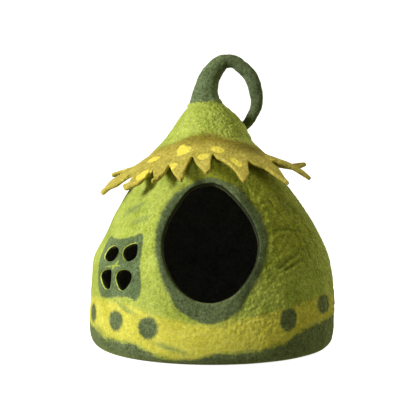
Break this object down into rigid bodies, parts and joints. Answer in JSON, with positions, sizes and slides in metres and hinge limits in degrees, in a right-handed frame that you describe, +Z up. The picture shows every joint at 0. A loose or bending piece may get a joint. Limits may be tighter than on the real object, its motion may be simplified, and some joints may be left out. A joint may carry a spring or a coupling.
{
  "type": "felt cat cave",
  "caption": "Hollow felted wool cave for a cat, gourd shaped, with a round doorway, small window holes, a leaf collar and a curled stem.",
  "frame": {"origin": "on the floor, under the middle of the body", "axes": "+Z up, towards the stem; -Y out through the doorway; +X to the right as seen from the front"},
  "size_m": [0.4004, 0.3999, 0.4797],
  "materials": {
    "lime_wool": "matt wet-felted wool",
    "mustard_wool": "matt wet-felted wool",
    "moss_wool": "matt wet-felted wool"
  },
  "bodies": {
    "root": {"felt_body": "lime_wool", "leaf_collar": "mustard_wool", "curled_stem": "moss_wool"}
  },
  "joints": []
}
